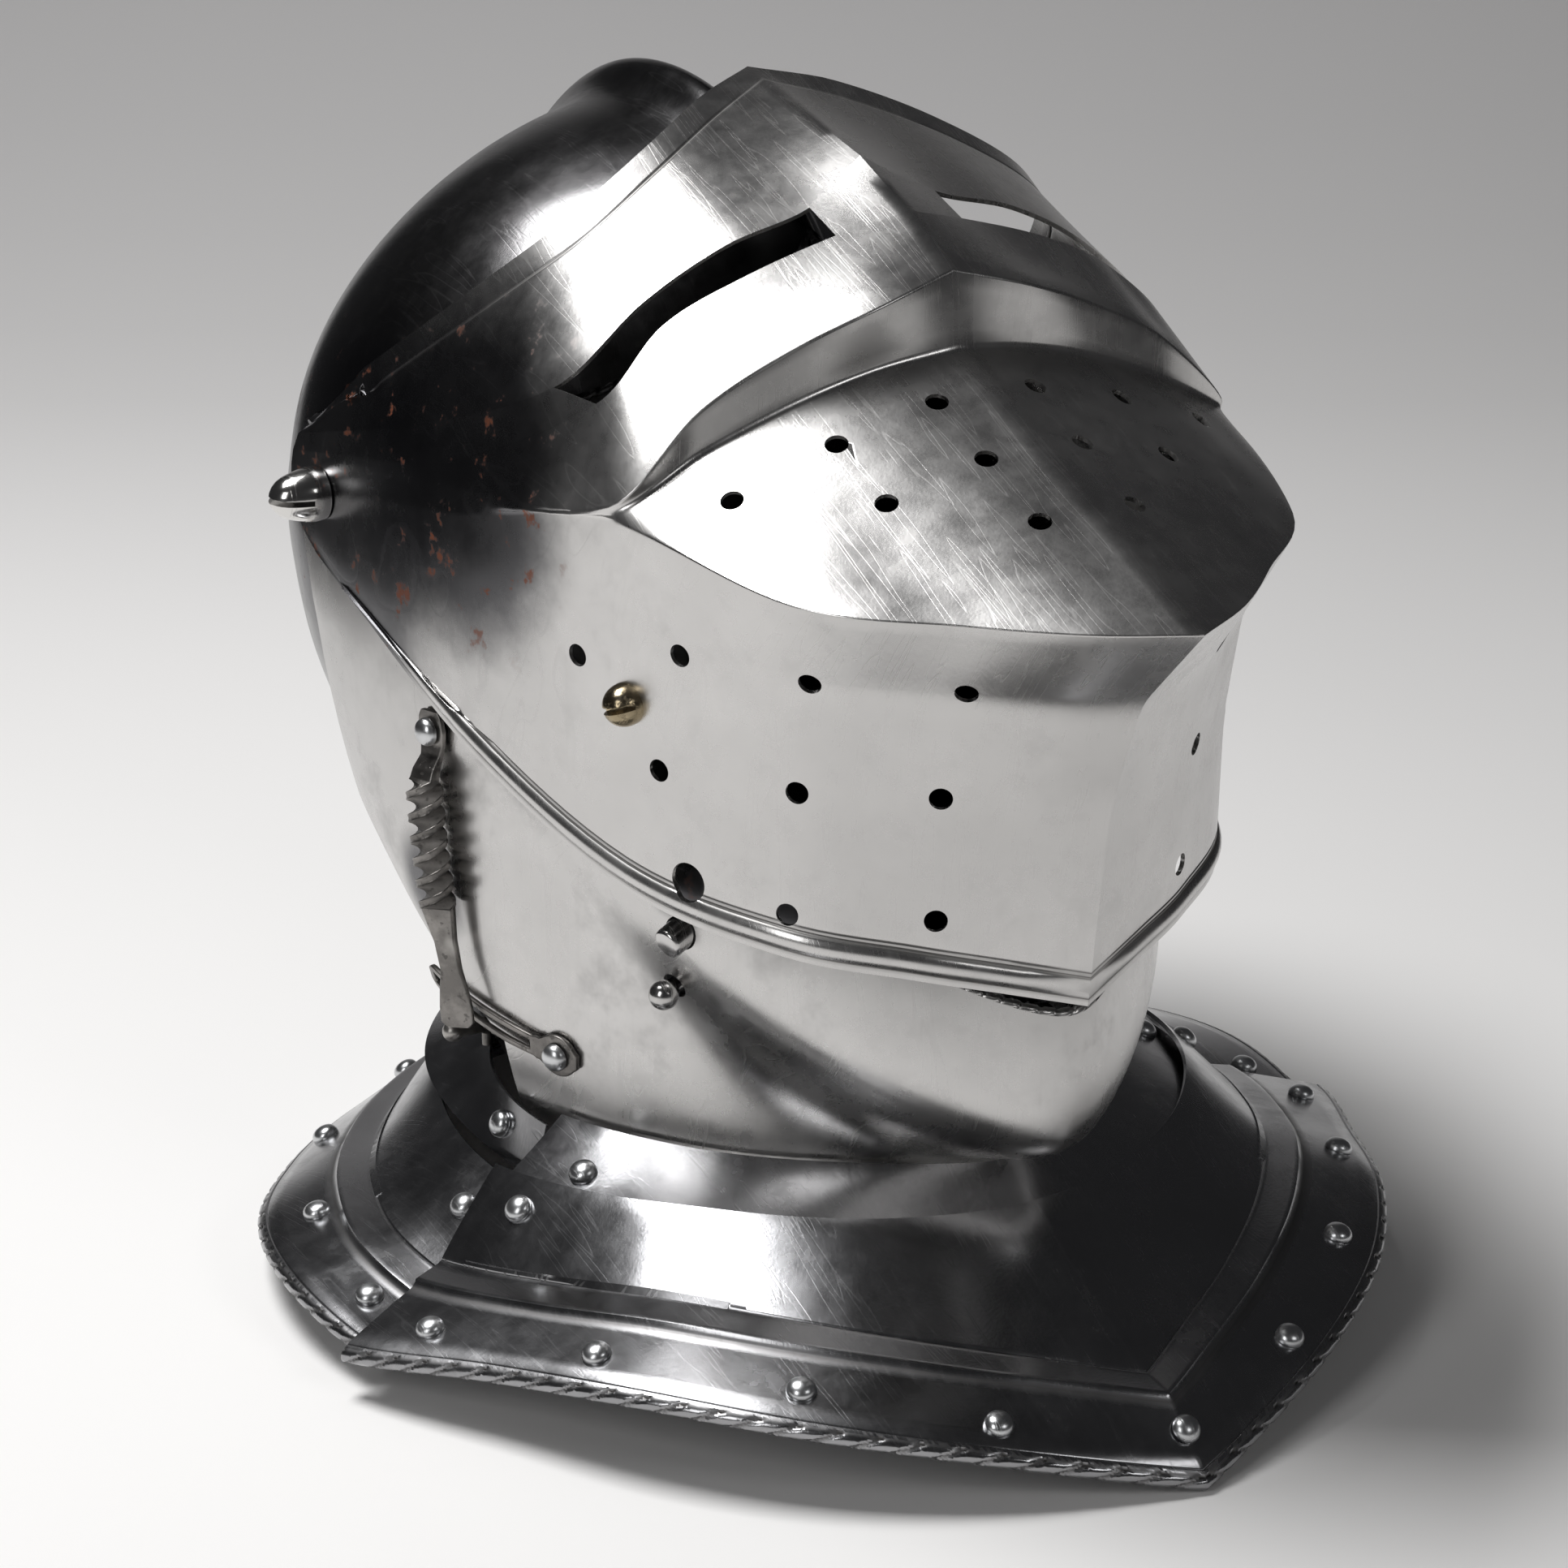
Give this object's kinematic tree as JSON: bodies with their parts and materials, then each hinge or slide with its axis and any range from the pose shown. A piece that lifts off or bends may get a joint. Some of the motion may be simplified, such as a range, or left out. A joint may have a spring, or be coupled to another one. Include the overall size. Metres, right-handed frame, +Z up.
{
  "type": "close helmet",
  "caption": "Steel close helmet: bowl with a low comb, pointed visor with sights and breath holes, bevor, flared gorget plates with riveted rims, side bar and hasp",
  "frame": {"origin": "middle of the footprint, on the surface that the helmet stands on", "axes": "+Z up; the helmet looks along -Y; the wearer's left is +X"},
  "size_m": [0.3238, 0.3655, 0.323],
  "materials": {
    "bar_rivet": "polished steel",
    "bevor": "polished steel sheet, dulled and scratched by handling",
    "catch_button": "polished steel",
    "catch_peg": "polished steel",
    "catch_spring": "forged steel, dull",
    "front_collar": "polished steel sheet that looks dark",
    "front_gorget_plate": "polished steel sheet that looks dark",
    "hasp": "forged steel, dull",
    "hasp_rivet": "polished steel",
    "left_front_border_rivet_2": "polished steel",
    "left_front_border_rivet_3": "polished steel",
    "left_front_border_rivet_4": "polished steel",
    "left_front_border_rivet_5": "polished steel",
    "left_front_collar_rivet": "polished steel",
    "left_front_seam_rivet": "polished steel",
    "left_pivot_screw": "polished steel",
    "left_rear_border_rivet_1": "polished steel",
    "left_rear_border_rivet_2": "polished steel",
    "left_rear_border_rivet_3": "polished steel",
    "left_rear_border_rivet_4": "polished steel",
    "left_rear_collar_rivet": "polished steel",
    "left_rear_seam_rivet": "polished steel",
    "locking_post": "forged steel, dull",
    "middle_front_border_rivet": "polished steel",
    "middle_rear_border_rivet": "polished steel",
    "post_pin": "forged steel, dull",
    "rear_collar": "polished steel sheet that looks dark",
    "rear_gorget_plate": "polished steel sheet that looks dark",
    "right_front_border_rivet_2": "polished steel",
    "right_front_border_rivet_3": "polished steel",
    "right_front_border_rivet_4": "polished steel",
    "right_front_border_rivet_5": "polished steel",
    "right_front_collar_rivet": "polished steel",
    "right_front_seam_rivet": "polished steel",
    "right_pivot_screw": "polished steel",
    "right_rear_border_rivet_1": "polished steel",
    "right_rear_border_rivet_2": "polished steel",
    "right_rear_border_rivet_3": "polished steel",
    "right_rear_border_rivet_4": "polished steel",
    "right_rear_collar_rivet": "polished steel",
    "right_rear_seam_rivet": "polished steel",
    "side_bar": "forged steel, dull",
    "skull": "polished steel sheet that looks dark",
    "visor": "polished steel sheet, dulled and scratched by handling",
    "visor_screw": "steel with a brassy tint, worn"
  },
  "bodies": {
    "root": {"skull": "skull", "rear_collar": "rear_collar", "rear_gorget_plate": "rear_gorget_plate", "locking_post": "locking_post", "post_pin": "post_pin", "left_pivot_screw": "left_pivot_screw", "right_pivot_screw": "right_pivot_screw", "left_rear_border_rivet_1": "left_rear_border_rivet_1", "left_rear_border_rivet_2": "left_rear_border_rivet_2", "left_rear_border_rivet_3": "left_rear_border_rivet_3", "left_rear_border_rivet_4": "left_rear_border_rivet_4", "left_rear_collar_rivet": "left_rear_collar_rivet", "left_rear_seam_rivet": "left_rear_seam_rivet", "middle_rear_border_rivet": "middle_rear_border_rivet", "right_rear_border_rivet_1": "right_rear_border_rivet_1", "right_rear_border_rivet_2": "right_rear_border_rivet_2", "right_rear_border_rivet_3": "right_rear_border_rivet_3", "right_rear_border_rivet_4": "right_rear_border_rivet_4", "right_rear_collar_rivet": "right_rear_collar_rivet", "right_rear_seam_rivet": "right_rear_seam_rivet"},
    "bevor": {"bevor": "bevor", "front_collar": "front_collar", "front_gorget_plate": "front_gorget_plate", "bar_rivet": "bar_rivet", "hasp_rivet": "hasp_rivet", "left_front_border_rivet_2": "left_front_border_rivet_2", "left_front_border_rivet_3": "left_front_border_rivet_3", "left_front_border_rivet_4": "left_front_border_rivet_4", "left_front_border_rivet_5": "left_front_border_rivet_5", "left_front_collar_rivet": "left_front_collar_rivet", "left_front_seam_rivet": "left_front_seam_rivet", "middle_front_border_rivet": "middle_front_border_rivet", "right_front_border_rivet_2": "right_front_border_rivet_2", "right_front_border_rivet_3": "right_front_border_rivet_3", "right_front_border_rivet_4": "right_front_border_rivet_4", "right_front_border_rivet_5": "right_front_border_rivet_5", "right_front_collar_rivet": "right_front_collar_rivet", "right_front_seam_rivet": "right_front_seam_rivet"},
    "visor": {"visor": "visor", "visor_screw": "visor_screw"},
    "catch": {"catch_peg": "catch_peg", "catch_button": "catch_button", "catch_spring": "catch_spring"},
    "bar": {"side_bar": "side_bar"},
    "hasp": {"hasp": "hasp"}
  },
  "joints": [
    {"name": "bevor_turn", "type": "hinge", "parent": "root", "child": "bevor", "pos_m": [0, 0.0829, 0.211], "axis": [-1, 0, 0], "range_deg": [0, 50]},
    {"name": "visor_turn", "type": "hinge", "parent": "bevor", "child": "visor", "pos_m": [0, 0.0829, 0.211], "axis": [-1, 0, 0], "range_deg": [0, 55]},
    {"name": "catch_press", "type": "slide", "parent": "bevor", "child": "catch", "axis": [0.9148, 0.261, 0.3081], "range_m": [0, 0.0022], "stiffness_N_per_m": 1500, "springref_m": -0.002},
    {"name": "bar_swing", "type": "hinge", "parent": "bevor", "child": "bar", "pos_m": [-0.10074, 0.03251, 0.15705], "axis": [-0.9846, -0.1749, 0], "range_deg": [-30, 45]},
    {"name": "hasp_swing", "type": "hinge", "parent": "bevor", "child": "hasp", "pos_m": [-0.0856, -0.00605, 0.07405], "axis": [-0.9402, -0.3326, -0.0739], "range_deg": [-2, 10]}
  ]
}
